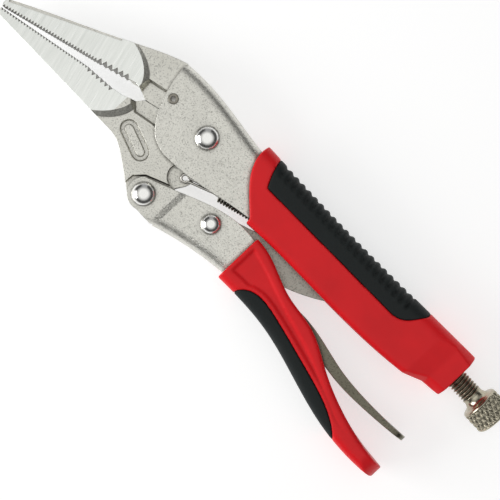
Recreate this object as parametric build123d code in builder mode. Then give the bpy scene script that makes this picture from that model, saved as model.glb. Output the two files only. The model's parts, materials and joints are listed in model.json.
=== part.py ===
from build123d import *
import math
import os

# Long-nose locking pliers, closed and locked, lying on their side.
# Units are millimetres. Side-view points are given from the main pivot: +X runs back to the adjusting knob,
# +Y runs up to the upper handle's back, and the thickness is along Z, equal on both sides
# of the middle plane.

# ---- frame ----
HALF_WIDTH = 10.0                      # widest half thickness: grips lie on the table
PIVOT_X, PIVOT_Y = -29.048, 13.055    # main pivot, from the centre of the overall outline
MID = Plane(origin=(PIVOT_X, PIVOT_Y, HALF_WIDTH))
PLAN = Plane(origin=(PIVOT_X, PIVOT_Y, HALF_WIDTH), x_dir=(1, 0, 0), z_dir=(0, -1, 0))

# ---- linkage pivots ----
MAIN_PIVOT = (0, 0)
JAW_LINK_PIVOT = (-1.3, -29.8)
TOGGLE_PIVOT = (22.9, -19.9)
LEVER_PIVOT = (64.0, -23.0)
JAW_PIN = (-18.3, 0.9)
SPRING_HOLE = (4.6, -15.4)
SPRING_ANCHOR = (44.0, -1.9)
SCREW_Y = 5.7

# ---- sheet metal half widths ----
SHEET = 2.0
CHANNEL_IN, CHANNEL_OUT = 5.1, 7.1
CHEEK_IN, CHEEK_OUT = 4.0, 6.0         # narrowed front cheeks of the lower handle
SPINE_BEND = 4.6                       # outer bend radius where a channel's sides meet its spine

# ---- forged jaws ----
SHANK_HALF = 5.1
HUB_HALF = 4.9
EYE_HALF = 3.8
TIP_HALF = 3.2                         # half thickness of the ground flats at the tip
FLAT_HALF = 6.5                        # and at their rear
WEDGE_TIP_X, WEDGE_REAR_X = -86.0, -30.0
HUB_R = 8.0
HUB_GAP = 0.3
CUTTER_ANGLE = 194.4                   # direction of the cutter's parting line, seen from the main pivot
CUTTER_DEPTH = 1.5
CARTOUCHE, CARTOUCHE_TURN = (-17.4, -19.1), -18.5
CARTOUCHE_LENGTH, CARTOUCHE_WIDTH, CARTOUCHE_DEPTH = 15.0, 5.8, 0.8
PITCH_FINE, DEPTH_FINE = 1.2, 0.55
PITCH_COARSE, DEPTH_COARSE = 2.1, 1.15

# ---- rivets ----
RUNNING = 0.05                         # radial clearance of a turning fit
RIVET_R = 2.4
LEVER_RIVET_R = 1.6
MAIN_HEAD_R, LINK_HEAD_R, TOGGLE_HEAD_R = 4.35, 4.3, 3.7
HEAD_HEIGHT = 2.5
HEAD_FLAT_R = 1.3
PIN_R, PIN_BORE_R = 1.9, 1.0
SPRING_HOLE_R = 1.55
SPRING_POCKET_HALF = 2.6               # half thickness left inside the spring pocket
SPRING_TONGUE_HALF = 1.5

# ---- adjusting screw ----
SCREW_R = 4.0
SCREW_TIP_X, SCREW_COLLAR_X, KNOB_X, KNOB_END_X = 85.0, 131.5, 134.4, 143.5
COLLAR_R, KNOB_R, KNOB_EDGE = 4.5, 7.2, 1.3
BARREL_R, BARREL_X, BARREL_END_X = 6.9, 98.0, 121.4

# ---- grips ----
GRIP_END_X = 122.0
GRIP_END_R = 8.9
GRIP_WAIST_X, GRIP_NECK_X, GRIP_NECK_R = 107.4, 114.8, 9.6
GRIP_ROUND = 5.6
LOWER_GRIP_ROUND = 3.2
INSERT_THICK = 1.6

os.makedirs("parts", exist_ok=True)


def from_pivot(angle_deg, radius, pivot=MAIN_PIVOT):
    """Point at a polar position from a pivot."""
    a = math.radians(angle_deg)
    return (pivot[0] + radius * math.cos(a), pivot[1] + radius * math.sin(a))


def toothed(start, end, pitch, depth):
    """Points of a saw edge from start to end, the roots on the left (on the right if depth is negative)."""
    run = Vector(*end) - Vector(*start)
    count = round(run.length / pitch)
    side = Vector(-run.Y, run.X).normalized() * depth
    points = []
    for n in range(count):
        tip = Vector(*start) + run * (n / count)
        root = Vector(*start) + run * ((n + 0.5) / count) + side
        points += [(tip.X, tip.Y), (root.X, root.Y)]
    return points


def finish(piece, name):
    """Label a finished sub-part and write it to its STEP file."""
    piece.part.label = name
    export_step(piece.part, f"parts/{name}.step")


# ======== jaws ========

UPPER_TEETH_TIP, UPPER_TEETH_MID, UPPER_TEETH_END = (-84.7, -20.25), (-47.0, -9.5), (-34.3, -5.6)
LOWER_TEETH_TIP, LOWER_TEETH_MID, LOWER_TEETH_END = (-84.5, -20.75), (-47.6, -13.0), (-35.6, -11.9)
CUTTER_R = 26.3                        # far end of the cutting edges, from the main pivot


# wedge that grinds both sides of the jaws thinner towards the tip
with BuildPart() as ground_wedge:
    with BuildSketch(PLAN.offset(-30)):
        with BuildLine():
            Polyline(
                (WEDGE_TIP_X, -TIP_HALF), (WEDGE_REAR_X, -FLAT_HALF), (40, -FLAT_HALF),
                (40, FLAT_HALF), (WEDGE_REAR_X, FLAT_HALF), (WEDGE_TIP_X, TIP_HALF), close=True,
            )
        make_face()
    extrude(amount=90)

# outline of the upper jaw, from the tip along the teeth to the cutter, round the hub, and back over the top
CUTTER_OUT, CUTTER_IN = from_pivot(CUTTER_ANGLE, CUTTER_R), from_pivot(CUTTER_ANGLE, HUB_R + HUB_GAP)
HEEL_ANGLE = 38.0                      # where the shank's heel ends, over the hub
with BuildSketch(MID) as upper_jaw_outline:
    with BuildLine():
        Polyline(
            *toothed(UPPER_TEETH_TIP, UPPER_TEETH_MID, PITCH_FINE, DEPTH_FINE),
            *toothed(UPPER_TEETH_MID, UPPER_TEETH_END, PITCH_COARSE, DEPTH_COARSE),
            UPPER_TEETH_END,
        )
        Polyline(UPPER_TEETH_END, (-31.6, -4.7), (-29.3, -5.0), CUTTER_OUT, CUTTER_IN)
        ThreePointArc(CUTTER_IN, from_pivot(110, HUB_R + HUB_GAP), from_pivot(HEEL_ANGLE, HUB_R + HUB_GAP))
        Polyline(from_pivot(HEEL_ANGLE, HUB_R + HUB_GAP), (9.0, 9.6), (-22.6, 11.6), (-23.9, 13.3))
        Spline((-23.9, 13.3), (-41.0, 5.4), (-61.4, -4.9), (-84.4, -16.6),
               tangents=((-1, -0.32), (-0.87, -0.5)))
        ThreePointArc((-84.4, -16.6), (-85.4, -18.4), UPPER_TEETH_TIP)
    make_face()
UPPER_PETAL = ((-47.5, 5.2), (-38.5, 4.7), (-30.8, 1.1), (-27.3, -5.6))


def flats_outline(border, low_y, height):
    """Side-view face in front of a curved border, on the plane at a height from the middle."""
    with BuildSketch(MID.offset(height)) as face:
        with BuildLine():
            Spline(*border)
            Polyline(border[-1], (border[-1][0], low_y), (-110, low_y), (-110, border[0][1]), border[0])
        make_face()
    return face.sketch


def raised_flats(border, low_y, inward):
    """Slab with a raised pad on each side, whose rear border slopes inward from the shank's height."""
    crest = [(x + inward[0], y + inward[1]) for x, y in border]
    with BuildPart() as slab:
        add(flats_outline(border, low_y, 0))
        extrude(amount=SHANK_HALF, both=True)
        for side in (1, -1):
            add(flats_outline(border, low_y, side * SHANK_HALF))
            add(flats_outline(crest, low_y, side * (FLAT_HALF + 0.3)))
            loft(ruled=True)
    return slab.part


# outline of the lower jaw, from the tip along the teeth to the cutter, round the hub, down past the spring
# lug to the rivet eye, and back along the outer edge
LOWER_CUTTER_ANGLE = CUTTER_ANGLE + 0.4
LOWER_CUTTER_OUT = from_pivot(LOWER_CUTTER_ANGLE, CUTTER_R)
LOWER_CUTTER_IN = from_pivot(LOWER_CUTTER_ANGLE, HUB_R)
EYE_R = 6.0
with BuildSketch(MID) as lower_jaw_outline:
    with BuildLine():
        Polyline(
            *toothed(LOWER_TEETH_TIP, LOWER_TEETH_MID, PITCH_FINE, -DEPTH_FINE),
            *toothed(LOWER_TEETH_MID, LOWER_TEETH_END, PITCH_COARSE, -DEPTH_COARSE),
            LOWER_TEETH_END,
        )
        Polyline(LOWER_TEETH_END, (-31.9, -11.2), (-27.4, -9.3), LOWER_CUTTER_OUT, LOWER_CUTTER_IN)
        ThreePointArc(LOWER_CUTTER_IN, from_pivot(90, HUB_R), from_pivot(-12, HUB_R))
        Spline(from_pivot(-12, HUB_R), (7.3, -12.8), (6.5, -17.4), (4.4, -21.2),
               tangents=((-0.1, -1), (-0.35, -1)))
        Line((4.4, -21.2), from_pivot(15, EYE_R, JAW_LINK_PIVOT))
        ThreePointArc(from_pivot(15, EYE_R, JAW_LINK_PIVOT), from_pivot(-75, EYE_R, JAW_LINK_PIVOT),
                      from_pivot(-125, EYE_R, JAW_LINK_PIVOT))
        Spline(from_pivot(-125, EYE_R, JAW_LINK_PIVOT), (-16.3, -26.6), (-22.8, -23.3), (-31.0, -22.9),
               tangents=((-0.82, 0.57), (-1, 0)))
        Line((-31.0, -22.9), (-82.5, -23.2))
        ThreePointArc((-82.5, -23.2), (-84.3, -22.2), LOWER_TEETH_TIP)
    make_face()
LOWER_PETAL = ((-38.8, -26.4), (-31.2, -21.4), (-26.7, -15.6), (-25.7, -9.0))

with BuildPart() as lower_jaw:
    add(lower_jaw_outline.sketch)
    extrude(amount=FLAT_HALF, both=True)
    add(raised_flats(LOWER_PETAL, 20, (-2.4, 1.4)), mode=Mode.INTERSECT)
    add(lower_jaw_outline.sketch)
    extrude(amount=HUB_HALF, both=True)
    add(ground_wedge.part, mode=Mode.INTERSECT)
    for side in (1, -1):
        # shallow recess under the cutting edge
        with BuildSketch(MID.offset(side * (SHANK_HALF - CUTTER_DEPTH))):
            with BuildLine():
                Polyline((-24.6, -11.6), (-16.4, -9.9), (-16.5, -2.5), (-26.5, -5.5), (-27.5, -9.0),
                         close=True)
            make_face()
        extrude(amount=side * 3, taper=-30, mode=Mode.SUBTRACT)
        # thinner eye that sits between the lower handle's cheeks
        with BuildSketch(MID.offset(side * EYE_HALF)):
            with BuildLine():
                Polyline((-9.4, -40), (-8.6, -28.2), (-5.6, -24.9), (5.2, -20.2), (12, -20), (12, -40),
                         close=True)
            make_face()
        extrude(amount=side * 5, taper=-20, mode=Mode.SUBTRACT)
        # round pocket where the spring's hook lies
        with BuildSketch(MID.offset(side * SPRING_POCKET_HALF)):
            with Locations((3.4, -16.2)):
                Circle(5.0)
        extrude(amount=side * 5, mode=Mode.SUBTRACT)
    # recessed cartouche on the arm, with a blank pad inside
    for side in (1, -1):
        with BuildSketch(MID.offset(side * (HUB_HALF - CARTOUCHE_DEPTH))):
            with Locations(Location(CARTOUCHE, CARTOUCHE_TURN)):
                SlotOverall(CARTOUCHE_LENGTH, CARTOUCHE_WIDTH)
        extrude(amount=side * 2, taper=-30, mode=Mode.SUBTRACT)
        with BuildSketch(MID.offset(side * (HUB_HALF - CARTOUCHE_DEPTH))):
            with Locations(Location(CARTOUCHE, CARTOUCHE_TURN)):
                SlotOverall(CARTOUCHE_LENGTH - 2.4, CARTOUCHE_WIDTH - 2.4)
        extrude(amount=side * CARTOUCHE_DEPTH * 0.8, taper=25)
    with Locations(MID.location):
        Hole(RIVET_R + RUNNING, depth=30)
    with Locations(MID.location * Location(JAW_LINK_PIVOT)):
        Hole(RIVET_R + RUNNING, depth=30)
    with Locations(MID.location * Location(SPRING_HOLE)):
        Hole(SPRING_HOLE_R, depth=30)
finish(lower_jaw, "lower_jaw")

# ======== handles ========

UPPER_SPINE = ((-23.6, 13.4), (-12.0, 13.9), (16.7, 11.0), (60.0, 11.2), (104.0, 12.5))
FRONT_EDGE = ((-24.1, 11.6), (-21.5, 0.2), (-16.0, -10.2), (-6.4, -15.1))
LOWER_EDGE = ((-6.4, -15.1), (5.5, -14.0), (30.2, -8.8), (71.0, -7.4), (104.0, -1.1))
with BuildSketch(MID) as upper_handle_outline:
    with BuildLine():
        Spline(*UPPER_SPINE)
        Line(UPPER_SPINE[0], FRONT_EDGE[0])
        Spline(*FRONT_EDGE, tangents=((0.15, -1), (1, -0.12)))
        Spline(*LOWER_EDGE, tangents=((1, 0.02), (1, 0.25)))
        Line(LOWER_EDGE[-1], UPPER_SPINE[-1])
    make_face()


def spine_edges(part, at_x, at_y):
    """The two long curved edges, one on each side, that pass nearest a point of the middle plane."""
    near = MID.from_local_coords((at_x, at_y, 0))
    outer = part.edges().filter_by(GeomType.BSPLINE).filter_by(lambda e: abs(e.center().Z - HALF_WIDTH) > 1)
    return outer.sort_by_distance(near)[0:2]


with BuildPart() as upper_channel_form:
    add(upper_handle_outline.sketch)
    extrude(amount=CHANNEL_OUT, both=True)
    fillet(spine_edges(upper_channel_form, 40, 11.1), SPINE_BEND)

# the space inside the channel: below the spine, between the sides
with BuildPart() as upper_channel_space:
    with BuildSketch(MID):
        with BuildLine():
            Spline((-40, 10.4), *[(x, y - SHEET) for x, y in UPPER_SPINE[:-1]], (BARREL_X, 10.2))
            Polyline((BARREL_X, 10.2), (BARREL_X, -30), (-40, -30), (-40, 10.4))
        make_face()
    extrude(amount=CHANNEL_IN, both=True)
    fillet(spine_edges(upper_channel_space, 40, 9.1), SPINE_BEND - SHEET)

SCREW_AXIS = Plane(origin=(PIVOT_X, PIVOT_Y + SCREW_Y, HALF_WIDTH), x_dir=(0, 1, 0), z_dir=(1, 0, 0))
SCREW_SIDE = Plane(origin=SCREW_AXIS.origin, x_dir=(1, 0, 0), z_dir=(0, -1, 0))
with BuildPart() as upper_handle_walls:
    add(upper_channel_form.part)
    add(upper_channel_space.part, mode=Mode.SUBTRACT)

with BuildPart() as upper_handle:
    add(upper_handle_walls.part)
    with BuildSketch(SCREW_AXIS.offset(BARREL_X)):
        Circle(BARREL_R)
    extrude(amount=BARREL_END_X - BARREL_X)
    with BuildSketch(SCREW_AXIS.offset(BARREL_X - 4)):
        Circle(SCREW_R + RUNNING)
    extrude(amount=BARREL_END_X - BARREL_X + 8, mode=Mode.SUBTRACT)
    with Locations(MID.location):
        Hole(RIVET_R, depth=30)
    with Locations(MID.location * Location(JAW_PIN)):
        Hole(PIN_R, depth=30)
    # tongue pressed down from the spine that holds the spring
    with BuildSketch(MID):
        with Locations((SPRING_ANCHOR[0] + 1.2, 5.0)):
            Rectangle(1.6, 10.4)
    extrude(amount=SPRING_TONGUE_HALF, both=True)
finish(upper_handle, "upper_handle")

BACK_BEVEL = ((-84.6, -16.7), (-46.5, 2.7))
BEVEL_LEG = 1.0


def flats_half(x):
    """Half thickness between the ground flats at a place along the jaws."""
    return TIP_HALF + (FLAT_HALF - TIP_HALF) * (x - WEDGE_TIP_X) / (WEDGE_REAR_X - WEDGE_TIP_X)


with BuildPart() as upper_jaw:
    add(upper_jaw_outline.sketch)
    extrude(amount=FLAT_HALF, both=True)
    add(raised_flats(UPPER_PETAL, -40, (-2.2, -1.6)), mode=Mode.INTERSECT)
    add(upper_jaw_outline.sketch)
    extrude(amount=SHANK_HALF, both=True)
    add(ground_wedge.part, mode=Mode.INTERSECT)
    # bevel along the back of the nose
    for side in (1, -1):
        start, end = (Vector(PIVOT_X + x, PIVOT_Y + y, HALF_WIDTH + side * flats_half(x)) for x,
                      y in BACK_BEVEL)
        outward = Vector(-(end - start).Y, (end - start).X, 0)
        with BuildSketch(Plane(origin=start, x_dir=outward, z_dir=end - start)):
            with BuildLine():
                Polyline((0.4, side * 0.4), (-0.4 - BEVEL_LEG, side * 0.4),
                         (0.4, -side * (0.4 + BEVEL_LEG)), close=True)
            make_face()
        extrude(amount=(end - start).length, mode=Mode.SUBTRACT)
    # shallow recesses above the cutting edge
    for side in (1, -1):
        with BuildSketch(MID.offset(side * (SHANK_HALF - CUTTER_DEPTH))):
            with BuildLine():
                Polyline((-28.6, -0.9), (-21.0, 0.9), (-17.0, -4.4), (-25.4, -6.9), (-28.0, -6.5),
                         close=True)
            make_face()
        extrude(amount=side * 3, taper=-30, mode=Mode.SUBTRACT)
    # the shank fits the channel it is held in
    add(upper_handle_walls.part, mode=Mode.SUBTRACT)
    with Locations(MID.location * Location(JAW_PIN)):
        Hole(PIN_R, depth=30)
finish(upper_jaw, "upper_jaw")

LOWER_SPINE = ((8.6, -35.6), (25.2, -31.0), (42.0, -28.6), (62.0, -29.2), (85.0, -34.6), (104.0, -38.6),
               (122.5, -39.6))
LOWER_RIM = ((-5.4, -25.3), (8.9, -19.3), (30.0, -12.6), (45.0, -14.2), (62.0, -19.4), (80.0, -24.4),
             (98.0, -31.6),
             (122.5, -36.6))
FRONT_X = 8.6                          # the spine starts here
CHEEK_R = 6.0
with BuildSketch(MID) as lower_handle_outline:
    with BuildLine():
        Spline(*LOWER_RIM)
        Line(LOWER_RIM[-1], LOWER_SPINE[-1])
        Spline(*LOWER_SPINE)
        Line(LOWER_SPINE[0], from_pivot(-70, CHEEK_R, JAW_LINK_PIVOT))
        ThreePointArc(from_pivot(-70, CHEEK_R, JAW_LINK_PIVOT), from_pivot(180, CHEEK_R, JAW_LINK_PIVOT),
                      LOWER_RIM[0])
    make_face()
with BuildPart() as lower_channel_form:
    add(lower_handle_outline.sketch)
    extrude(amount=CHANNEL_OUT, both=True)
    fillet(spine_edges(lower_channel_form, 52, -28.7), SPINE_BEND)

# space between the cheeks: narrow in front of the joggle, and above the spine behind it
JOGGLE_X, JOGGLE_END_X = 7.2, 9.6


def joggled(front_half, rear_half):
    """Tall solid whose plan outline widens at the joggle."""
    with BuildPart() as block:
        with BuildSketch(PLAN):
            with BuildLine():
                Polyline(
                    (-20, -front_half), (JOGGLE_X, -front_half), (JOGGLE_END_X, -rear_half), (130,
                                                                                              -rear_half),
                    (130, rear_half), (JOGGLE_END_X, rear_half), (JOGGLE_X, front_half), (-20, front_half),
                    close=True,
                )
            make_face()
        extrude(amount=60)
    return block.part


with BuildPart() as lower_channel_space:
    with BuildSketch(MID):
        with BuildLine():
            Spline((FRONT_X, -33.4), *[(x, y + SHEET) for x, y in LOWER_SPINE[1:]])
            Polyline((LOWER_SPINE[-1][0], LOWER_SPINE[-1][1] + SHEET), (125, -30), (125, 0), (-20, 0),
                     (-20, -50),
                     (FRONT_X, -50), (FRONT_X, -33.4))
        make_face()
    extrude(amount=CHANNEL_IN, both=True)
    fillet(spine_edges(lower_channel_space, 52, -26.7), SPINE_BEND - SHEET)
    add(joggled(CHEEK_IN, CHANNEL_IN), mode=Mode.INTERSECT)

with BuildPart() as lower_handle:
    add(lower_channel_form.part)
    add(joggled(CHEEK_OUT, CHANNEL_OUT), mode=Mode.INTERSECT)
    add(lower_channel_space.part, mode=Mode.SUBTRACT)
    for pivot, hole_r in ((JAW_LINK_PIVOT, RIVET_R), (TOGGLE_PIVOT, RIVET_R), (LEVER_PIVOT, LEVER_RIVET_R)):
        with Locations(MID.location * Location(pivot)):
            Hole(hole_r, depth=30)
finish(lower_handle, "lower_handle")

# ======== linkage ========

LINK_EYE_R = 4.7
LINK_BOSS_HALF, LINK_HALF = 4.9, 3.0
with BuildPart() as toggle_link:
    with BuildSketch(MID):
        with BuildLine():
            ThreePointArc(from_pivot(111, LINK_EYE_R, TOGGLE_PIVOT),
                          from_pivot(200, LINK_EYE_R, TOGGLE_PIVOT),
                          from_pivot(291, LINK_EYE_R, TOGGLE_PIVOT))
            Spline(from_pivot(291, LINK_EYE_R, TOGGLE_PIVOT), (41.0, -18.6), (54.0, -17.4), (63.0, -13.9),
                   (72.0, -8.4), (81.4, -0.4), tangents=((1, 0.38), (0.8, 0.62)))
            ThreePointArc((81.4, -0.4), (82.0, 3.0), (79.2, 5.3))
            Line((79.2, 5.3), from_pivot(111, LINK_EYE_R, TOGGLE_PIVOT))
        make_face()
    extrude(amount=LINK_HALF, both=True)
    with BuildSketch(MID):
        with Locations(TOGGLE_PIVOT):
            Circle(LINK_EYE_R)
    extrude(amount=LINK_BOSS_HALF, both=True)
    with Locations(MID.location * Location(TOGGLE_PIVOT)):
        Hole(RIVET_R + RUNNING, depth=30)
finish(toggle_link, "toggle_link")

with BuildPart() as adjusting_screw:
    with BuildSketch(SCREW_AXIS.offset(SCREW_TIP_X)):
        Circle(SCREW_R)
    extrude(amount=SCREW_COLLAR_X - SCREW_TIP_X)
    chamfer(edges().group_by(Axis.X)[0], 0.8)
    with BuildSketch(SCREW_AXIS.offset(SCREW_COLLAR_X)):
        Circle(COLLAR_R)
    extrude(amount=KNOB_X - SCREW_COLLAR_X)
    with BuildSketch(SCREW_AXIS.offset(KNOB_X)):
        Circle(KNOB_R)
    extrude(amount=KNOB_END_X - KNOB_X)
    fillet(edges().filter_by(GeomType.CIRCLE).filter_by(lambda e: e.radius > KNOB_R - 0.1), KNOB_EDGE)
finish(adjusting_screw, "adjusting_screw")

# release lever: a folded channel, open towards the lower handle, with a flat tail
LEVER_OUT, LEVER_SHEET = 4.7, 1.6
LEVER_TOP = ((57.2, -20.6), (64.0, -18.8), (75.6, -18.9), (92.0, -22.0), (108.0, -23.0), (125.8, -22.0))
LEVER_BOTTOM = ((57.2, -22.6), (61.0, -25.8), (67.0, -25.9), (80.0, -24.8), (92.0, -26.0),
                (108.0, -25.8), (125.8, -23.8))
with BuildPart() as release_lever:
    with BuildSketch(MID):
        with BuildLine():
            Spline(*LEVER_TOP)
            Line(LEVER_TOP[-1], LEVER_BOTTOM[-1])
            Spline(*LEVER_BOTTOM[::-1])
            Line(LEVER_BOTTOM[0], LEVER_TOP[0])
        make_face()
    extrude(amount=LEVER_OUT, both=True)
    # rounded tail, seen from above
    with BuildSketch(PLAN):
        with BuildLine():
            Polyline((50, -LEVER_OUT), (121.2, -LEVER_OUT))
            ThreePointArc((121.2, -LEVER_OUT), (125.8, 0), (121.2, LEVER_OUT))
            Polyline((121.2, LEVER_OUT), (50, LEVER_OUT), (50, -LEVER_OUT))
        make_face()
    extrude(amount=60, mode=Mode.INTERSECT)
    # hollow under the top sheet
    with BuildSketch(MID):
        with BuildLine():
            Spline((56.0, -22.6), (64.0, -18.8 - LEVER_SHEET), (75.6, -18.9 - LEVER_SHEET),
                   (92.0, -22.0 - LEVER_SHEET), (112.0, -23.0 - LEVER_SHEET))
            Polyline((112.0, -23.0 - LEVER_SHEET), (114.0, -27.5), (112.0, -40), (56.0, -40), (56.0, -22.6))
        make_face()
    extrude(amount=LEVER_OUT - LEVER_SHEET, both=True, mode=Mode.SUBTRACT)
    with Locations(MID.location * Location(LEVER_PIVOT)):
        Hole(LEVER_RIVET_R + RUNNING, depth=30)
finish(release_lever, "release_lever")

# ======== spring ========

COIL_R, WIRE_R = 3.0, 0.5
COIL_START, COIL_END = (17.6, -9.6), (40.6, -3.2)
coil_axis = Plane(origin=MID.from_local_coords(COIL_START), x_dir=(0, 0, 1),
                  z_dir=(COIL_END[0] - COIL_START[0], COIL_END[1] - COIL_START[1], 0))
COIL_LENGTH = math.dist(COIL_START, COIL_END)
with BuildPart() as return_spring:
    with BuildSketch(coil_axis):
        Circle(COIL_R)
        Circle(COIL_R - 2 * WIRE_R, mode=Mode.SUBTRACT)
    extrude(amount=COIL_LENGTH)
    # front hook: out of the coil's rim, along the jaw and through its hole
    with BuildLine(MID) as front_hook:
        FilletPolyline(
            (COIL_START[0] + 0.6, COIL_START[1] + 0.2, 2.5), (COIL_START[0] - 2, COIL_START[1] - 1, 3.6),
            (SPRING_HOLE[0], SPRING_HOLE[1], 3.6), (SPRING_HOLE[0], SPRING_HOLE[1], -3.4), radius=0.9,
        )
    with BuildSketch(Plane(front_hook.line @ 0, z_dir=front_hook.line % 0)):
        Circle(WIRE_R)
    sweep(path=front_hook.line)
    # rear hook: out of the coil's rim to the handle's tongue
    with BuildLine(MID) as rear_hook:
        FilletPolyline(
            (COIL_END[0] - 0.4, COIL_END[1] + 0.2, 2.5), (COIL_END[0] + 2.4, COIL_END[1] + 0.6, 2.5),
            (SPRING_ANCHOR[0] + 3.0, SPRING_ANCHOR[1], 2.5), (SPRING_ANCHOR[0] + 3.0, SPRING_ANCHOR[1],
                                                              -2.0),
            radius=0.7,
        )
    with BuildSketch(Plane(rear_hook.line @ 0, z_dir=rear_hook.line % 0)):
        Circle(WIRE_R)
    sweep(path=rear_hook.line)
finish(return_spring, "return_spring")

# ======== rivets and pin ========


def rivet(name, pivot, half_grip, head_r):
    """Rivet across the middle plane, with a domed head that ends in a small flat on each side."""
    across = Plane(origin=MID.from_local_coords(pivot), x_dir=(1, 0, 0), z_dir=(0, -1, 0))
    top = half_grip + HEAD_HEIGHT
    with BuildPart() as piece:
        with BuildSketch(across):
            with BuildLine():
                Polyline((0, 0), (0, top), (HEAD_FLAT_R, top))
                ThreePointArc((HEAD_FLAT_R, top), (head_r * 0.78, half_grip + HEAD_HEIGHT * 0.66),
                              (head_r, half_grip + 0.5))
                Polyline((head_r, half_grip + 0.5), (head_r, half_grip), (RIVET_R, half_grip),
                         (RIVET_R, 0), (0, 0))
            make_face()
        revolve(axis=Axis(across.origin, (0, 0, 1)))
        mirror(about=Plane.XY.offset(HALF_WIDTH))
    finish(piece, name)


rivet("main_pivot_rivet", MAIN_PIVOT, CHANNEL_OUT, MAIN_HEAD_R)
rivet("jaw_link_rivet", JAW_LINK_PIVOT, CHEEK_OUT, LINK_HEAD_R)
rivet("toggle_rivet", TOGGLE_PIVOT, CHANNEL_OUT, TOGGLE_HEAD_R)

with BuildPart() as release_lever_rivet:
    with BuildSketch(MID):
        with Locations(LEVER_PIVOT):
            Circle(LEVER_RIVET_R)
    extrude(amount=CHANNEL_OUT, both=True)
finish(release_lever_rivet, "release_lever_rivet")

with BuildPart() as jaw_retaining_pin:
    with BuildSketch(MID):
        with Locations(JAW_PIN):
            Circle(PIN_R)
            Circle(PIN_BORE_R, mode=Mode.SUBTRACT)
    extrude(amount=CHANNEL_OUT + 0.2, both=True)
    chamfer(edges().filter_by(GeomType.CIRCLE).filter_by(lambda e: e.radius > PIN_R - 0.1), 0.18)
finish(jaw_retaining_pin, "jaw_retaining_pin")

# ======== grips ========

# the upper grip's side outline: collar at the front, curved front edge, round end over the barrel
UPPER_GRIP_TOP = ((17.2, 14.0), (24.0, 13.9), (60.0, 13.7), (95.0, 14.6),
                  (GRIP_END_X, SCREW_Y + GRIP_END_R + 0.9))
UPPER_GRIP_FRONT = ((17.2, 14.0), (16.9, 10.6), (18.9, 3.9), (23.4, -1.8), (31.0, -8.8))
UPPER_GRIP_RIM = ((31.0, -10.6), (71.0, -9.4), (95.0, -8.4), (107.4, -7.0))
with BuildPart() as upper_grip_form:
    with BuildSketch(MID):
        with BuildLine():
            Spline(*UPPER_GRIP_TOP)
            Polyline(UPPER_GRIP_TOP[-1], (GRIP_END_X, SCREW_Y - GRIP_END_R),
                     (GRIP_NECK_X, SCREW_Y - GRIP_NECK_R),
                     UPPER_GRIP_RIM[-1])
            Spline(*UPPER_GRIP_RIM[::-1])
            Line(UPPER_GRIP_RIM[0], (10.0, -10.6))
            Line((10.0, -10.6), (10.0, 14.0))
            Line((10.0, 14.0), UPPER_GRIP_TOP[0])
        make_face()
    extrude(amount=HALF_WIDTH, both=True)
    fillet(spine_edges(upper_grip_form, 60, 13.7), GRIP_ROUND)
    fillet(spine_edges(upper_grip_form, 80, -8.9), 2.2)
    # everything in front of the curved front edge goes
    with BuildSketch(MID):
        with BuildLine():
            Spline(*UPPER_GRIP_FRONT)
            Polyline(UPPER_GRIP_FRONT[-1], (31.0, -30), (-20, -30), (-20, 30), (17.2, 30),
                     UPPER_GRIP_FRONT[0])
        make_face()
    extrude(amount=30, both=True, mode=Mode.SUBTRACT)
    # the rear end narrows through flat facets to a collar, seen from above
    with BuildSketch(PLAN.offset(-30)):
        with BuildLine():
            Polyline((0, -HALF_WIDTH - 1), (GRIP_WAIST_X, -HALF_WIDTH - 1), (GRIP_WAIST_X, -HALF_WIDTH),
                     (GRIP_NECK_X, -GRIP_END_R), (GRIP_END_X + 1, -GRIP_END_R), (GRIP_END_X + 1, GRIP_END_R),
                     (GRIP_NECK_X, GRIP_END_R), (GRIP_WAIST_X, HALF_WIDTH), (GRIP_WAIST_X, HALF_WIDTH + 1),
                     (0, HALF_WIDTH + 1), close=True)
        make_face()
    extrude(amount=90, mode=Mode.INTERSECT)
    # and its corners are rounded about the screw's axis
    with BuildSketch(SCREW_SIDE):
        with BuildLine():
            Polyline((-60, 0), (-60, 30), (GRIP_WAIST_X - 14, 30), (GRIP_WAIST_X, 15.0), (GRIP_NECK_X, 11.2),
                     (GRIP_END_X + 1, 10.7), (GRIP_END_X + 1, 0), close=True)
        make_face()
    revolve(axis=Axis(SCREW_SIDE.origin, (1, 0, 0)), mode=Mode.INTERSECT)


# black insert let into the back of the grip
with BuildSketch(MID) as upper_insert_outline:
    with BuildLine():
        Line((23.5, 30), (23.5, 13.6))
        Spline((23.5, 13.6), (25.0, 8.4), (27.6, 3.2))
        Line((27.6, 3.2), (88.0, 4.4))
        Spline((88.0, 4.4), (94.6, 6.6), (98.0, 11.0), (99.0, 30), tangents=((1, 0), (0, 1)))
        Line((99.0, 30), (23.5, 30))
    make_face()
with BuildPart() as upper_grip_core:
    with BuildSketch(MID):
        with BuildLine():
            Spline((5.0, 12.4), *[(x, y - INSERT_THICK) for x, y in UPPER_GRIP_TOP])
            Polyline((GRIP_END_X, UPPER_GRIP_TOP[-1][1] - INSERT_THICK), (GRIP_END_X, -30), (5.0, -30),
                     (5.0, 12.4))
        make_face()
    extrude(amount=HALF_WIDTH - INSERT_THICK, both=True)
    fillet(spine_edges(upper_grip_core, 60, 12.1), GRIP_ROUND - INSERT_THICK)
with BuildPart() as upper_insert:
    add(upper_insert_outline.sketch)
    extrude(amount=30, both=True)
    add(upper_grip_form.part, mode=Mode.INTERSECT)
    add(upper_grip_core.part, mode=Mode.SUBTRACT)
finish(upper_insert, "upper_grip_insert")
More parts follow.
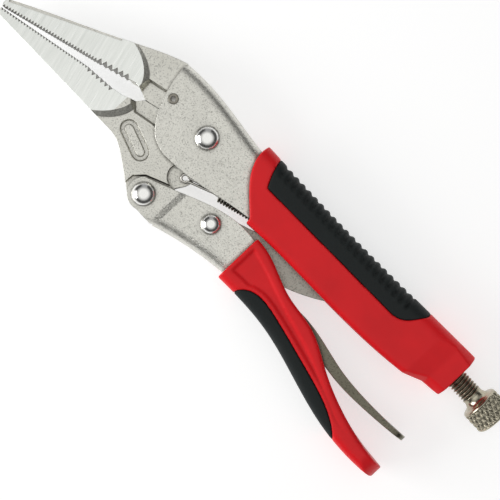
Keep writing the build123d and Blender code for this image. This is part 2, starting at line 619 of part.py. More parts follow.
with BuildPart() as upper_grip:
    add(upper_grip_form.part)
    add(upper_insert.part, mode=Mode.SUBTRACT)
    add(upper_channel_form.part, mode=Mode.SUBTRACT)
    # mouth of the channel stays open
    with BuildSketch(MID):
        with Locations((57.0, -10.0)):
            Rectangle(94.0, 18.0)
    extrude(amount=CHANNEL_IN, both=True, mode=Mode.SUBTRACT)
    with BuildSketch(SCREW_AXIS.offset(BARREL_X)):
        Circle(BARREL_R)
    extrude(amount=BARREL_END_X - BARREL_X, mode=Mode.SUBTRACT)
    with BuildSketch(SCREW_AXIS.offset(BARREL_X)):
        Circle(SCREW_R + 0.6)
    extrude(amount=40, mode=Mode.SUBTRACT)
finish(upper_grip, "upper_grip")

# the lower grip
LOWER_GRIP_RIM = ((38.0, -11.6), (45.0, -12.4), (60.0, -17.4), (74.0, -19.6), (88.0, -26.0), (107.0, -32.9),
                  (127.4, -35.6))
LOWER_GRIP_BACK = ((38.0, -31.0), (50.0, -30.8), (62.0, -31.6), (80.0, -35.6), (100.0, -40.4),
                   (116.0, -41.6),
                   (127.4, -40.6))
with BuildPart() as lower_grip_form:
    with BuildSketch(MID):
        with BuildLine():
            Spline(*LOWER_GRIP_RIM)
            Line(LOWER_GRIP_RIM[-1], LOWER_GRIP_BACK[-1])
            Spline(*LOWER_GRIP_BACK)
            Line(LOWER_GRIP_BACK[0], LOWER_GRIP_RIM[0])
        make_face()
    extrude(amount=HALF_WIDTH, both=True)
    fillet(spine_edges(lower_grip_form, 70, -33.0), LOWER_GRIP_ROUND)
    fillet(spine_edges(lower_grip_form, 80, -22.0), 1.5)
    # rounded end and front edge, seen square to the side
    with BuildSketch(PLAN):
        with BuildLine():
            Polyline((36, -HALF_WIDTH), (119, -HALF_WIDTH))
            ThreePointArc((119, -HALF_WIDTH), (127.5, 0), (119, HALF_WIDTH))
            Polyline((119, HALF_WIDTH), (36, HALF_WIDTH), (36, -HALF_WIDTH))
        make_face()
    extrude(amount=60, mode=Mode.INTERSECT)

with BuildPart() as lower_grip_core:
    with BuildSketch(MID):
        with BuildLine():
            Spline((30.0, -29.0), *[(x, y + INSERT_THICK) for x, y in LOWER_GRIP_BACK])
            Polyline((LOWER_GRIP_BACK[-1][0], LOWER_GRIP_BACK[-1][1] + INSERT_THICK), (135, 0), (30, 0),
                     (30.0, -29.0))
        make_face()
    extrude(amount=HALF_WIDTH - INSERT_THICK, both=True)
    fillet(spine_edges(lower_grip_core, 70, -31.4), LOWER_GRIP_ROUND - INSERT_THICK)
with BuildPart() as lower_insert:
    with BuildSketch(MID):
        with BuildLine():
            Polyline((46.0, -60), (46.0, -29.5))
            Spline((46.0, -29.5), (49.0, -26.4), (62.0, -26.0), (82.0, -30.6), (100.0, -36.2),
                   (106.0, -40.0),
                   (107.0, -60))
            Line((107.0, -60), (46.0, -60))
        make_face()
    extrude(amount=30, both=True)
    add(lower_grip_form.part, mode=Mode.INTERSECT)
    add(lower_grip_core.part, mode=Mode.SUBTRACT)
finish(lower_insert, "lower_grip_insert")
with BuildPart() as lower_grip:
    add(lower_grip_form.part)
    add(lower_insert.part, mode=Mode.SUBTRACT)
    add(lower_channel_form.part, mode=Mode.SUBTRACT)
    with BuildSketch(MID):
        with Locations((77.0, -21.0)):
            Rectangle(90.0, 26.0)
    extrude(amount=CHANNEL_IN, both=True, mode=Mode.SUBTRACT)
finish(lower_grip, "lower_grip")
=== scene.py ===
import json
import math

import bpy
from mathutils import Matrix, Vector, kdtree


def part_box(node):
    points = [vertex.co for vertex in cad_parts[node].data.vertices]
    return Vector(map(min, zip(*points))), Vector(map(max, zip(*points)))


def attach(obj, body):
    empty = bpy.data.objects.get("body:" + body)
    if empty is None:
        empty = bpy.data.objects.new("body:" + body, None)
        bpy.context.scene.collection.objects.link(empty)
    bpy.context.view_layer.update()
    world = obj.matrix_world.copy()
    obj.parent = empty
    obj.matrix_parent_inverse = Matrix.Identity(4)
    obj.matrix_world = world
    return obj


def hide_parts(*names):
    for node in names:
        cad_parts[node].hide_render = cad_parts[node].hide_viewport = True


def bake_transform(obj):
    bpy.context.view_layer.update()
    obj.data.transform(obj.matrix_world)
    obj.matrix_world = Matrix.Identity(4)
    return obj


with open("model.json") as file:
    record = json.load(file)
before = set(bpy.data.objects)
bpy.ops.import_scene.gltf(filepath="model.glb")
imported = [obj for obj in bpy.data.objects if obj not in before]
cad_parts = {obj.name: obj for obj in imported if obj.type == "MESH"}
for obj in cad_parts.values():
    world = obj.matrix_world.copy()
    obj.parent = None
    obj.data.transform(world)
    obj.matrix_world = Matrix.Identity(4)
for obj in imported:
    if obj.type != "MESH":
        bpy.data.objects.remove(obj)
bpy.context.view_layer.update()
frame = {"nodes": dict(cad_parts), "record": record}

MM = 0.001

# ---------------- places, from the frame ----------------

joints = {j["name"]: j for j in frame["record"]["behaviour"]["joints"]}
PIVOT = Vector(joints["jaw_pivot"]["pos_m"])


def at(x, y, z=0.0):
    """Point given in millimetres from the main pivot."""
    return PIVOT + Vector((x, y, z)) * MM


# ---------------- small helpers ----------------

def mesh_object(name, verts, faces, smooth=True):
    mesh = bpy.data.meshes.new(name)
    mesh.from_pydata([tuple(v) for v in verts], [], faces)
    mesh.validate()
    mesh.update()
    obj = bpy.data.objects.new(name, mesh)
    bpy.context.scene.collection.objects.link(obj)
    if smooth:
        mesh.polygons.foreach_set("use_smooth", [True] * len(mesh.polygons))
    return obj


def apply_modifiers(obj):
    """Turn the modified shape into the object's own mesh."""
    graph = bpy.context.evaluated_depsgraph_get()
    done = bpy.data.meshes.new_from_object(obj.evaluated_get(graph))
    obj.modifiers.clear()
    obj.data = done
    done.polygons.foreach_set("use_smooth", [True] * len(done.polygons))
    return obj


def grid_faces(rings, around):
    """Quads between closed rings of points."""
    faces = []
    for i in range(rings - 1):
        for j in range(around):
            k = (j + 1) % around
            near, far = i * around, (i + 1) * around
            faces.append((near + j, near + k, far + k, far + j))
    return faces


# ---------------- materials ----------------

CLOUD_SPAN = (0.35, 0.7)      # the part of a noise's values that shows as patches
FINE_SPAN = (0.3, 0.7)
PIT_SPAN, PIT_STRENGTH = (0.33, 0.47), 0.85
OPEN_SPAN = (0.35, 0.9)       # how open a corner is, from full painted shade to none
EDGE_SPAN = (0.90, 0.985)     # how far an edge's rounded normal leans, from painted highlight to plain


class Nodes:
    """Short way to write a node material."""

    def __init__(self, name):
        self.material = bpy.data.materials.new(name)
        self.material.use_nodes = True
        self.tree = self.material.node_tree
        self.shader = self.tree.nodes["Principled BSDF"]
        self.place = self.new("ShaderNodeTexCoord").outputs["Object"]

    def new(self, kind, **settings):
        node = self.tree.nodes.new(kind)
        for key, value in settings.items():
            setattr(node, key, value)
        return node

    def link(self, a, b):
        self.tree.links.new(a, b)

    def stretched(self, scale, turn_deg=0.0):
        """Object coordinates turned about Z, then scaled along each axis."""
        turn = self.new("ShaderNodeMapping", vector_type="POINT")
        turn.inputs["Rotation"].default_value = (0, 0, math.radians(turn_deg))
        self.link(self.place, turn.inputs["Vector"])
        size = self.new("ShaderNodeMapping", vector_type="POINT")
        size.inputs["Scale"].default_value = scale
        self.link(turn.outputs["Vector"], size.inputs["Vector"])
        return size.outputs["Vector"]

    def noise(self, scale, detail=3.0, vector=None, roughness=0.55):
        node = self.new("ShaderNodeTexNoise")
        node.inputs["Scale"].default_value = scale
        node.inputs["Detail"].default_value = detail
        node.inputs["Roughness"].default_value = roughness
        self.link(vector or self.place, node.inputs["Vector"])
        return node.outputs["Fac"]

    def ranged(self, value, low, high, to_low, to_high):
        node = self.new("ShaderNodeMapRange")
        node.inputs["From Min"].default_value = low
        node.inputs["From Max"].default_value = high
        node.inputs["To Min"].default_value = to_low
        node.inputs["To Max"].default_value = to_high
        self.link(value, node.inputs["Value"])
        return node.outputs["Result"]

    def maths(self, operation, a, b):
        node = self.new("ShaderNodeMath", operation=operation)
        for socket, value in zip(node.inputs, (a, b)):
            if isinstance(value, (int, float)):
                socket.default_value = value
            else:
                self.link(value, socket)
        return node.outputs["Value"]

    def mix_colour(self, factor, a, b):
        node = self.new("ShaderNodeMix", data_type="RGBA")
        self.link(factor, node.inputs["Factor"])
        for socket, value in ((node.inputs[6], a), (node.inputs[7], b)):
            if isinstance(value, tuple):
                socket.default_value = (*value, 1)
            else:
                self.link(value, socket)
        return node.outputs[2]

    def mix_value(self, factor, a, b):
        node = self.new("ShaderNodeMix", data_type="FLOAT")
        self.link(factor, node.inputs["Factor"])
        for socket, value in ((node.inputs[2], a), (node.inputs[3], b)):
            if isinstance(value, (int, float)):
                socket.default_value = value
            else:
                self.link(value, socket)
        return node.outputs[0]

    def bump(self, height, distance, strength=1.0, rounded=0.0):
        """Bump from a height, over edges that look rounded by a small radius in metres."""
        node = self.new("ShaderNodeBump")
        node.inputs["Strength"].default_value = strength
        node.inputs["Distance"].default_value = distance
        self.link(height, node.inputs["Height"])
        if rounded:
            edge = self.new("ShaderNodeBevel", samples=6)
            edge.inputs["Radius"].default_value = rounded
            self.link(edge.outputs["Normal"], node.inputs["Normal"])
        self.link(node.outputs["Normal"], self.shader.inputs["Normal"])


def painted_crevice_shade(mat, distance):
    """0 in the open, 1 in corners, from ambient occlusion: a mask for painted shade in corners,
    where plating also gets a raised roughness.
    """
    ao = mat.new("ShaderNodeAmbientOcclusion", samples=6)
    ao.inputs["Distance"].default_value = distance
    return mat.ranged(ao.outputs["AO"], *OPEN_SPAN, 1.0, 0.0)


def painted_edge_highlight(mat, radius):
    """1 along sharp outer edges, where a painted highlight goes, 0 on the faces."""
    round_normal = mat.new("ShaderNodeBevel", samples=6)
    round_normal.inputs["Radius"].default_value = radius
    place = mat.new("ShaderNodeNewGeometry")
    compare = mat.new("ShaderNodeVectorMath", operation="DOT_PRODUCT")
    mat.link(round_normal.outputs["Normal"], compare.inputs[0])
    mat.link(place.outputs["Normal"], compare.inputs[1])
    return mat.ranged(compare.outputs["Value"], *EDGE_SPAN, 1.0, 0.0)


def darker(colour, factor):
    return tuple(c * factor for c in colour)


def pitted(mat, cell):
    """Scattered small dark pits, 0 between them."""
    return mat.ranged(mat.noise(cell, 2, roughness=0.7), *PIT_SPAN, PIT_STRENGTH, 0.0)


def plated_steel(name, colour, corner_shade_colour, roughness=0.34, grain=0.00004, edge=0.0004, cell=1400,
                 edge_highlight_colour=None):
    """Nickel plate over steel: a fine pebbled grain, cloudy patches, and corners with painted shade
    and a raised roughness.
    """
    mat = Nodes(name)
    mat.shader.inputs["Metallic"].default_value = 1.0
    clouds = mat.noise(90, 4)
    fine = mat.noise(cell, 3, roughness=0.65)
    speckle = mat.noise(cell * 2.4, 2)
    painted_shade = painted_crevice_shade(mat, 0.0016)
    cloudy = mat.ranged(clouds, *CLOUD_SPAN, 0.0, 1.0)
    open_colour = mat.mix_colour(cloudy, colour, darker(colour, 0.9))
    open_colour = mat.mix_colour(pitted(mat, cell * 1.3), open_colour, darker(colour, 0.45))
    # painted highlight: a light colour along the sharp edges
    if edge_highlight_colour:
        open_colour = mat.mix_colour(painted_edge_highlight(mat, edge), open_colour, edge_highlight_colour)
    # painted shade: corners darken to the given shade colour; the same mask raises their roughness
    mat.link(mat.mix_colour(painted_shade, open_colour, corner_shade_colour), mat.shader.inputs["Base Color"])
    rough = mat.ranged(fine, *FINE_SPAN, roughness - 0.05, roughness + 0.07)
    mat.link(mat.mix_value(painted_shade, rough, 0.55), mat.shader.inputs["Roughness"])
    height = mat.maths("ADD", mat.maths("MULTIPLY", fine, 0.75),
                       mat.maths("MULTIPLY", speckle, 0.25))
    mat.bump(height, grain, 1.0, edge)
    return mat


def painted_root_shadows(mat, start, end, pitch, depth, side):
    """1 in small triangles of painted shadow just behind the roots of a saw edge, elsewhere 0."""
    run = end - start
    turned = mat.new("ShaderNodeVectorRotate", rotation_type="Z_AXIS")
    mat.link(mat.place, turned.inputs["Vector"])
    turned.inputs["Center"].default_value = start
    turned.inputs["Angle"].default_value = -math.atan2(run.y, run.x)
    split = mat.new("ShaderNodeSeparateXYZ")
    mat.link(turned.outputs["Vector"], split.inputs["Vector"])
    along = mat.maths("SUBTRACT", split.outputs["X"], start.x)
    behind = mat.maths("MULTIPLY", mat.maths("SUBTRACT", split.outputs["Y"], start.y), side)
    count = round(run.length / pitch)
    phase = mat.maths("FRACT", mat.maths("DIVIDE", along, run.length / count), 0)
    centred = mat.maths("SUBTRACT", mat.maths("MULTIPLY", phase, 2.0), 1.0)
    wave = mat.maths("SUBTRACT", 1.0, mat.maths("ABSOLUTE", centred, 0))
    limit = mat.maths("MULTIPLY", wave, depth + ROOT_SHADE)
    inside = mat.maths("MULTIPLY", mat.maths("LESS_THAN", behind, limit),
                       mat.maths("GREATER_THAN", behind, 0.0))
    on_run = mat.maths("MULTIPLY", mat.maths("GREATER_THAN", along, 0.0),
                       mat.maths("LESS_THAN", along, run.length))
    return mat.maths("MULTIPLY", inside, on_run)


PITCH_FINE, DEPTH_FINE = 1.2 * MM, 0.55 * MM
PITCH_COARSE, DEPTH_COARSE = 2.1 * MM, 1.15 * MM
ROOT_SHADE = 0.45 * MM        # how far the painted shadow reaches behind a tooth's root
SAW_EDGES = (
    (at(-84.7, -20.25), at(-47.0, -9.5), PITCH_FINE, DEPTH_FINE, 1),
    (at(-47.0, -9.5), at(-34.3, -5.6), PITCH_COARSE, DEPTH_COARSE, 1),
    (at(-84.5, -20.75), at(-47.6, -13.0), PITCH_FINE, DEPTH_FINE, -1),
    (at(-47.6, -13.0), at(-35.6, -11.9), PITCH_COARSE, DEPTH_COARSE, -1),
)

# a ground flat leans along the jaw by this much, and otherwise faces up or down
FLAT_LEAN_LOW, FLAT_LEAN_HIGH, FLAT_UP = 0.045, 0.075, 0.99
CUT_UP, CUT_LEAN = 0.3, 0.35  # the cut sides of the teeth
BRUSH_TURN = -16
ROUGH_SPAN = (0.30, 0.42)
BRUSHED_ROUGH_SPAN = (0.24, 0.38)


def jaw_steel():
    """The forged finish, with the slanting ground flats brushed across the jaws, and painted shade
    in corners, on the teeth's cut sides and behind their roots.
    """
    mat = Nodes("jaw_steel")
    mat.shader.inputs["Metallic"].default_value = 1.0
    place = mat.new("ShaderNodeNewGeometry")
    split = mat.new("ShaderNodeSeparateXYZ")
    mat.link(place.outputs["True Normal"], split.inputs["Vector"])
    tilt = mat.maths("ABSOLUTE", split.outputs["X"], 0)
    up = mat.maths("ABSOLUTE", split.outputs["Z"], 0)
    is_tilted = mat.maths("MULTIPLY", mat.maths("GREATER_THAN", tilt, FLAT_LEAN_LOW),
                          mat.maths("LESS_THAN", tilt, FLAT_LEAN_HIGH))
    ground = mat.maths("MULTIPLY", is_tilted, mat.maths("GREATER_THAN", up, FLAT_UP))
    clouds = mat.noise(80, 4)
    fine = mat.noise(1300, 3, roughness=0.65)
    brushed = mat.noise(1.0, 3, vector=mat.stretched((5200, 160, 160), BRUSH_TURN), roughness=0.7)
    broad = mat.noise(1.0, 2, vector=mat.stretched((900, 60, 60), BRUSH_TURN))
    painted_shade = painted_crevice_shade(mat, 0.0014)
    # the cut sides of the teeth face along the jaw, and get painted shade
    cut_side_shade = mat.maths("MULTIPLY", mat.maths("LESS_THAN", up, CUT_UP),
                       mat.maths("GREATER_THAN", tilt, CUT_LEAN))
    painted_shade = mat.maths("MAXIMUM", painted_shade, mat.maths("MULTIPLY", cut_side_shade, 0.75))
    # painted shadow in small triangles behind the roots of the teeth
    for edge in SAW_EDGES:
        painted_shade = mat.maths("MAXIMUM", painted_shade, mat.maths("MULTIPLY", painted_root_shadows(mat, *edge), 0.9))
    cloudy = mat.ranged(clouds, *CLOUD_SPAN, 0, 1)
    forged = mat.mix_colour(cloudy, (0.75, 0.74, 0.68), (0.67, 0.66, 0.60))
    forged = mat.mix_colour(pitted(mat, 1950), forged, (0.33, 0.325, 0.30))
    streaks = mat.ranged(broad, 0.3, 0.75, 0, 1)
    flat = mat.mix_colour(streaks, (0.90, 0.915, 0.88), (0.78, 0.80, 0.765))
    # painted shade: the shaded places darken to near black
    colour = mat.mix_colour(painted_shade, mat.mix_colour(ground, forged, flat), (0.11, 0.10, 0.085))
    mat.link(colour, mat.shader.inputs["Base Color"])
    rough = mat.mix_value(ground, mat.ranged(fine, *FINE_SPAN, *ROUGH_SPAN),
                          mat.ranged(brushed, *FINE_SPAN, *BRUSHED_ROUGH_SPAN))
    mat.link(rough, mat.shader.inputs["Roughness"])
    height = mat.mix_value(ground, fine, mat.maths("MULTIPLY", brushed, 0.05))
    mat.bump(height, 0.00016, 1.0, 0.00025)
    return mat


def polished(name, colour, roughness=0.16):
    """Tumbled, bright plated heads with small scratches, and painted shade in the corners."""
    mat = Nodes(name)
    mat.shader.inputs["Metallic"].default_value = 1.0
    scratches = mat.noise(1.0, 4, vector=mat.stretched((900, 3800, 900), 25), roughness=0.7)
    painted_shade = painted_crevice_shade(mat, 0.0008)
    # painted shade: corners darken to a dark brown-grey
    mat.link(mat.mix_colour(painted_shade, colour, (0.16, 0.15, 0.13)), mat.shader.inputs["Base Color"])
    rough = mat.ranged(scratches, 0.3, 0.75, roughness - 0.05, roughness + 0.12)
    mat.link(rough, mat.shader.inputs["Roughness"])
    mat.bump(scratches, 0.000012, 1.0, 0.0002)
    return mat


def soft_plastic(name, colour, crease_shade_colour, roughness, grain, cell):
    """Moulded soft vinyl: very fine pebble, a little colour drift, painted shade in the corners."""
    mat = Nodes(name)
    mat.shader.inputs["Metallic"].default_value = 0.0
    mat.shader.inputs["Specular IOR Level"].default_value = 0.25
    mat.shader.inputs["Subsurface Weight"].default_value = 0.03
    mat.shader.inputs["Subsurface Scale"].default_value = 0.001
    drift = mat.noise(55, 3)
    pebble = mat.noise(cell, 2, roughness=0.6)
    painted_shade = painted_crevice_shade(mat, 0.0015)
    base = mat.mix_colour(mat.ranged(drift, *CLOUD_SPAN, 0, 1), colour, darker(colour, 0.88))
    # painted shade: corners darken to the given shade colour
    mat.link(mat.mix_colour(painted_shade, base, crease_shade_colour), mat.shader.inputs["Base Color"])
    rough = mat.ranged(pebble, *FINE_SPAN, roughness - 0.05, roughness + 0.08)
    mat.link(rough, mat.shader.inputs["Roughness"])
    mat.bump(pebble, grain, 1.0)
    return mat


# the second colour of each plated steel is the painted shade in its corners
STEEL = plated_steel("handle_steel", (0.76, 0.75, 0.69), (0.13, 0.125, 0.11),
                     0.30, 0.00020, 0.0004, 1500)
LINK_STEEL = plated_steel("link_steel", (0.40, 0.385, 0.34), (0.08, 0.075, 0.07), 0.4)
# the last colour is the lever's painted edge highlight
LEVER_STEEL = plated_steel("lever_steel", (0.17, 0.158, 0.12), (0.03, 0.027, 0.02),
                           0.30, 0.00010, 0.0006, 1500, (0.62, 0.58, 0.48))
SCREW_STEEL = plated_steel("screw_steel", (0.52, 0.48, 0.37), (0.035, 0.03, 0.018),
                           0.20, 0.00001, 0.0, 2600)
WIRE_STEEL = polished("spring_steel", (0.66, 0.64, 0.60), 0.22)
RIVET_STEEL = polished("rivet_steel", (0.86, 0.855, 0.83))
PIN_STEEL = polished("pin_steel", (0.26, 0.245, 0.21), 0.3)
JAW_STEEL = jaw_steel()
RED = soft_plastic("grip_red", (0.88, 0.011, 0.017), (0.24, 0.002, 0.005), 0.40, 0.00003, 2200)
BLACK = soft_plastic("grip_black", (0.011, 0.015, 0.015), (0.003, 0.003, 0.003),
                     0.55, 0.00004, 1800)

CAD_FINISH = {
    "upper_jaw": JAW_STEEL.material, "lower_jaw": JAW_STEEL.material,
    "upper_handle": STEEL.material, "lower_handle": STEEL.material,
    "toggle_link": LINK_STEEL.material, "release_lever": LEVER_STEEL.material,
    "main_pivot_rivet": RIVET_STEEL.material, "jaw_link_rivet": RIVET_STEEL.material,
    "toggle_rivet": RIVET_STEEL.material, "release_lever_rivet": RIVET_STEEL.material,
    "jaw_retaining_pin": PIN_STEEL.material,
}
for node_name, finish in CAD_FINISH.items():
    node = frame["nodes"][node_name]
    node.data.materials.clear()
    node.data.materials.append(finish)


def dress(obj, material, body, slot, *nodes):
    """Give a new piece its finish and body, and let it stand for its CAD node."""
    obj.data.materials.clear()
    obj.data.materials.append(material.material)
    if body:
        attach(obj, body)
    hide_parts(*nodes)
    return obj


# ---------------- camera, light and floor ----------------

CAMERA_TURN = math.radians(46.5)          # the tool lies slanting across the view
VIEW_CENTRE = at(39.0, -16.2)
CAMERA_HEIGHT = 0.45
VIEW_WIDTH = 0.1792
SENSOR_MM = 36.0

camera = bpy.data.objects.new("camera", bpy.data.cameras.new("camera"))
bpy.context.scene.collection.objects.link(camera)
camera.data.sensor_width = SENSOR_MM
camera.data.lens = SENSOR_MM * CAMERA_HEIGHT / VIEW_WIDTH
camera.data.clip_start = 0.01
camera.location = VIEW_CENTRE + Vector((0, 0, CAMERA_HEIGHT))
camera.rotation_euler = (0, 0, CAMERA_TURN)
bpy.context.scene.camera = camera


def area_light(name, place, size, power, colour=(1, 1, 1)):
    light = bpy.data.objects.new(name, bpy.data.lights.new(name, "AREA"))
    light.data.shape = "RECTANGLE"
    light.data.size, light.data.size_y = size
    light.data.energy = power
    light.data.color = colour
    light.location = place
    light.rotation_euler = (VIEW_CENTRE - Vector(place)).to_track_quat("-Z", "Y").to_euler()
    bpy.context.scene.collection.objects.link(light)
    return light


def image_direction(right, up, height):
    """Place given by the view's right and up, in metres, above its centre."""
    c, s = math.cos(CAMERA_TURN), math.sin(CAMERA_TURN)
    return VIEW_CENTRE + Vector((right * c - up * s, right * s + up * c, height))


area_light("key", image_direction(-0.92, -0.04, 0.44), (0.70, 0.50), 6.0)
area_light("fill", image_direction(0.05, 0.86, 0.42), (0.60, 0.60), 0.35, (0.97, 0.98, 1.0))

world = bpy.data.worlds.new("studio")
bpy.context.scene.world = world
world.use_nodes = True
sky = world.node_tree
direction = sky.nodes.new("ShaderNodeTexCoord")
height = sky.nodes.new("ShaderNodeSeparateXYZ")
ramp = sky.nodes.new("ShaderNodeValToRGB")
SKY_SHADES = ((0.0, 0.82), (0.10, 0.70), (0.20, 0.05), (0.62, 0.07), (0.86, 0.70), (0.95, 1.0))
for stop, shade in SKY_SHADES[1:-1]:
    ramp.color_ramp.elements.new(stop)
for element, (stop, shade) in zip(ramp.color_ramp.elements, SKY_SHADES):
    element.position = stop
    element.color = (shade, shade, shade * 0.99, 1)
sky.links.new(direction.outputs["Generated"], height.inputs["Vector"])
sky.links.new(height.outputs["Z"], ramp.inputs["Fac"])
sky.links.new(ramp.outputs["Color"], sky.nodes["Background"].inputs["Color"])
sky.nodes["Background"].inputs["Strength"].default_value = 1.0
bpy.context.scene.view_settings.view_transform = "Standard"

FLOOR_HALF = 3
corners = [(-FLOOR_HALF, -FLOOR_HALF, 0), (FLOOR_HALF, -FLOOR_HALF, 0),
           (FLOOR_HALF, FLOOR_HALF, 0), (-FLOOR_HALF, FLOOR_HALF, 0)]
floor = mesh_object("floor", corners, [(0, 1, 2, 3)], smooth=False)
paint = Nodes("floor_paint")
paint.shader.inputs["Roughness"].default_value = 0.8
paint.shader.inputs["Emission Color"].default_value = (1, 1, 1, 1)
paint.shader.inputs["Emission Strength"].default_value = 0.62
grey = paint.mix_colour(paint.noise(3.0), (0.60, 0.60, 0.60), (0.57, 0.57, 0.57))
paint.link(grey, paint.shader.inputs["Base Color"])
floor.data.materials.append(paint.material)

# ---------------- adjusting screw: thread, collar and knurled knob ----------------

SCREW_LOW, SCREW_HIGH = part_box("adjusting_screw")
SCREW_CENTRE = (SCREW_LOW + SCREW_HIGH) / 2
SCREW_TIP = SCREW_LOW.x
SCREW_END = SCREW_HIGH.x
KNOB_R = (SCREW_HIGH.y - SCREW_LOW.y) / 2
THREAD_R, THREAD_PITCH, THREAD_DEPTH = 4.0 * MM, 1.25 * MM, 0.8 * MM
THREAD_STEP, TIP_CHAMFER, THREAD_FADE = 0.1 * MM, 0.8 * MM, 0.9 * MM
CREST, FLANK = 0.12, 0.72     # parts of the thread's half pitch
COLLAR_LONG, KNOB_LONG = 2.9 * MM, 9.1 * MM
COLLAR_START = SCREW_END - KNOB_LONG - COLLAR_LONG
COLLAR_PROFILE = ((0.0, 3.85), (0.7, 3.9), (1.4, 4.1), (2.0, 4.45), (2.5, 4.95), (2.88, 5.5))
END_PROFILE = ((4.9, 0.0), (4.3, 0.25), (2.0, 0.3), (0.6, 0.3))
END_DISH = 0.3 * MM
KNOB_ROUND = 1.3 * MM
KNURL_COUNT, KNURL_PITCH, KNURL_DEPTH = 22, 1.95 * MM, 0.6 * MM
KNURL_MARGIN, KNURL_FADE, KNURL_SHARPNESS = 0.9 * MM, 0.4 * MM, 1.25
KNOB_STEPS, AROUND = 91, 192


def triangle(x):
    """Triangle wave from 0 to 1, of period 1."""
    return abs((x % 1.0) * 2 - 1)


def thread_radius(x, turn):
    """Cut thread with flat crests and roots, fading out at the tip and before the collar."""
    wave = triangle((x - SCREW_TIP) / THREAD_PITCH - turn / (2 * math.pi))
    cut = min(1.0, max(0.0, (wave - CREST) / FLANK))
    fade = min(1.0, max(0.0, (COLLAR_START - x) / THREAD_FADE))
    tip = max(0.0, TIP_CHAMFER - (x - SCREW_TIP))
    return min(THREAD_R - THREAD_DEPTH * cut * fade, THREAD_R - tip)


def knob_radius(x, turn):
    """Diamond knurl between plain rounded ends."""
    along = x - (SCREW_END - KNOB_LONG)
    near_end = min(along, KNOB_LONG - along)
    rounding = 0.0
    if near_end < KNOB_ROUND:
        rounding = KNOB_ROUND - math.sqrt(max(0.0, KNOB_ROUND ** 2 - (KNOB_ROUND - near_end) ** 2))
    a = triangle(KNURL_COUNT * turn / (2 * math.pi) + along / KNURL_PITCH / 2)
    b = triangle(KNURL_COUNT * turn / (2 * math.pi) - along / KNURL_PITCH / 2)
    groove = max(0.0, 1 - KNURL_SHARPNESS * min(a, b))
    knurled = min(1.0, max(0.0, (near_end - KNURL_MARGIN) / KNURL_FADE))
    return KNOB_R - rounding - KNURL_DEPTH * groove * knurled


def screw_rings():
    """Place along the screw and radius function of each ring, tip to knob end."""
    rings = []
    knob_start = SCREW_END - KNOB_LONG
    for i in range(int((COLLAR_START - SCREW_TIP) / THREAD_STEP) + 1):
        x = SCREW_TIP + i * THREAD_STEP
        rings.append((x, lambda turn, x=x: thread_radius(x, turn)))
    for along, r in COLLAR_PROFILE:
        rings.append((COLLAR_START + along * MM, lambda turn, r=r: r * MM))
    for i in range(KNOB_STEPS + 1):
        x = knob_start + KNOB_LONG * i / KNOB_STEPS
        rings.append((x, lambda turn, x=x: knob_radius(x, turn)))
    # slightly dished end face
    for r, dish in END_PROFILE:
        rings.append((SCREW_END - dish * MM, lambda turn, r=r: r * MM))
    return rings


def build_screw():
    verts = []
    rings = screw_rings()
    for x, radius in rings:
        for j in range(AROUND):
            turn = 2 * math.pi * j / AROUND
            r = radius(turn)
            across, up = r * math.cos(turn), r * math.sin(turn)
            verts.append((x, SCREW_CENTRE.y + across, SCREW_CENTRE.z + up))
    faces = grid_faces(len(rings), AROUND)
    first, last = len(verts), len(verts) + 1
    verts.append((SCREW_TIP, SCREW_CENTRE.y, SCREW_CENTRE.z))
    verts.append((SCREW_END - END_DISH, SCREW_CENTRE.y, SCREW_CENTRE.z))
    top = (len(rings) - 1) * AROUND
    for j in range(AROUND):
        k = (j + 1) % AROUND
        faces.append((first, k, j))
        faces.append((last, top + j, top + k))
    screw = mesh_object("screw_with_thread", verts, faces)
    screw.data.flip_normals()
    return screw


dress(build_screw(), SCREW_STEEL, "adjusting_screw_body", "screw_steel", "adjusting_screw")

# ---------------- grips: the CAD forms, softened as mouldings are ----------------

GRIP_VOXEL, GRIP_ROUNDS = 0.42 * MM, 6
INSERT_VOXEL, INSERT_ROUNDS = 0.36 * MM, 4


def softened(node_name, name, voxel, rounds):
    """Copy of a CAD node with its edges melted round."""
    piece = bpy.data.objects.new(name, frame["nodes"][node_name].data.copy())
    bpy.context.scene.collection.objects.link(piece)
    remesh = piece.modifiers.new("remesh", "REMESH")
    remesh.mode = "VOXEL"
    remesh.voxel_size = voxel
    smooth = piece.modifiers.new("smooth", "SMOOTH")
    smooth.factor = 0.5
    smooth.iterations = rounds
    return apply_modifiers(piece)


RIB_PITCH, RIB_DEPTH, RIB_WRAP = 3.2 * MM, 0.7 * MM, 1.6 * MM


def rib(obj, start, end, side_y):
    """Press rounded grooves across the back of an insert, fading out down to side_y."""
    normals = [v.normal.copy() for v in obj.data.vertices]
    for v, normal in zip(obj.data.vertices, normals):
        along = v.co.x - start
        if along < 0 or v.co.x > end:
            continue
        back = min(1.0, max(0.0, (v.co.y - side_y) / RIB_WRAP))
        groove = 0.5 - 0.5 * math.cos(2 * math.pi * along / RIB_PITCH)
        if normal.y > 0.15 or abs(normal.z) > 0.6:
            v.co -= normal * (RIB_DEPTH * groove ** 1.5 * back)
    obj.data.update()


RIM_WIDTH, VALLEY_DEPTH, VALLEY_RISE = 0.9 * MM, 0.7 * MM, 1.6 * MM


def hollow_sides(obj):
    """Sink the flat sides of a grip a little, but for a rim near its edges."""
    flat = [v for v in obj.data.vertices if abs(v.normal.z) > 0.97]
    edge = [v.co.to_2d() for v in obj.data.vertices if 0.45 < abs(v.normal.z) < 0.75]
    tree = kdtree.KDTree(len(edge))
    for i, co in enumerate(edge):
        tree.insert((*co, 0), i)
    tree.balance()
    for v in flat:
        distance = tree.find((v.co.x, v.co.y, 0))[2]
        t = min(1.0, max(0.0, (distance - RIM_WIDTH) / VALLEY_RISE))
        v.co.z -= math.copysign(VALLEY_DEPTH * t * t * (3 - 2 * t), v.normal.z)
    obj.data.update()


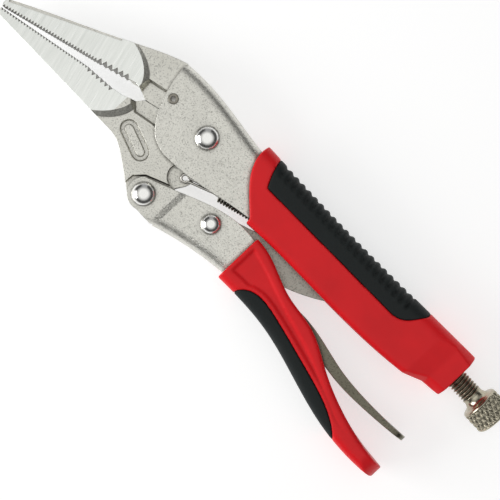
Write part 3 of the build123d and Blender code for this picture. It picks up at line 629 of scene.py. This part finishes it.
grip = softened("upper_grip", "upper_grip_moulding", GRIP_VOXEL, GRIP_ROUNDS)
dress(grip, RED, "upper_handle_body", "grip_red", "upper_grip")
insert = softened("upper_grip_insert", "upper_insert_moulding", INSERT_VOXEL, INSERT_ROUNDS)
rib(insert, at(26, 0).x, at(92, 0).x, at(0, 8.6).y)
dress(insert, BLACK, "upper_handle_body", "grip_black", "upper_grip_insert")
low_grip = softened("lower_grip", "lower_grip_moulding", GRIP_VOXEL, GRIP_ROUNDS)
dress(low_grip, RED, "lower_handle_body", "grip_red", "lower_grip")
hollow_sides(low_grip)
low_insert = softened("lower_grip_insert", "lower_insert_moulding", INSERT_VOXEL,
                      INSERT_ROUNDS)
dress(low_insert, BLACK, "lower_handle_body", "grip_black", "lower_grip_insert")

# ---------------- return spring ----------------

COIL_R, WIRE_R, COIL_PITCH = 2.5 * MM, 0.47 * MM, 1.15 * MM
COIL_START, COIL_END = at(17.6, -10.2), at(40.6, -3.5)
JAW_HOLE, HANDLE_HOOK = at(4.6, -15.4), at(47.0, -1.9)
HOOK_R, HOOK_HALF, HOOK_HEIGHT = 1.4 * MM, 0.55 * MM, 3.3 * MM


def spring_path():
    """Wire's way: a hairpin round the jaw's hole, then the coil, then to the handle's tongue."""
    axis = (COIL_END - COIL_START).normalized()
    side = Vector((0, 0, 1))
    across = axis.cross(side)
    reach = (COIL_START - JAW_HOLE).normalized()
    beside = reach.cross(side)
    lift = side * HOOK_HEIGHT
    points = [COIL_START - reach * MM - beside * HOOK_HALF + lift * 0.7]
    points += [JAW_HOLE + reach * (3.0 * MM) - beside * HOOK_HALF + lift]
    for step in range(13):
        turn = math.radians(30 + 25 * step)
        points.append(JAW_HOLE + (reach * math.cos(turn) - beside * math.sin(turn)) * HOOK_R + lift)
    points += [JAW_HOLE + reach * (3.0 * MM) + beside * HOOK_HALF + lift]
    points += [COIL_START - reach * MM + beside * HOOK_HALF + lift * 0.9]
    turns = (COIL_END - COIL_START).length / COIL_PITCH
    steps = int(turns * 16)
    for i in range(steps + 1):
        turn = 2 * math.pi * turns * i / steps
        centre = COIL_START.lerp(COIL_END, i / steps)
        points.append(centre + (side * math.cos(turn) + across * math.sin(turn)) * COIL_R)
    points += [COIL_END + Vector((2.6, 0.8, 2.4)) * MM, HANDLE_HOOK + side * (2.3 * MM)]
    points += [HANDLE_HOOK + side * (z * MM) for z in (1.0, -0.6, -1.8)]
    return points


def wire(name, points, radius):
    """Round wire along points, as a mesh."""
    curve = bpy.data.curves.new(name, "CURVE")
    curve.dimensions = "3D"
    curve.bevel_depth = radius
    curve.bevel_resolution = 3
    curve.use_fill_caps = True
    spline = curve.splines.new("NURBS")
    spline.points.add(len(points) - 1)
    for point, co in zip(spline.points, points):
        point.co = (*co, 1)
    spline.order_u = 3
    spline.use_endpoint_u = True
    curve.resolution_u = 2
    rod = bpy.data.objects.new(name, curve)
    bpy.context.scene.collection.objects.link(rod)
    mesh = bpy.data.meshes.new_from_object(rod.evaluated_get(bpy.context.evaluated_depsgraph_get()))
    bpy.data.objects.remove(rod)
    obj = bpy.data.objects.new(name, mesh)
    bpy.context.scene.collection.objects.link(obj)
    mesh.polygons.foreach_set("use_smooth", [True] * len(mesh.polygons))
    return obj


spring = dress(wire("coiled_spring", spring_path(), WIRE_R), WIRE_STEEL, None, "spring_steel",
               "return_spring")
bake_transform(spring)
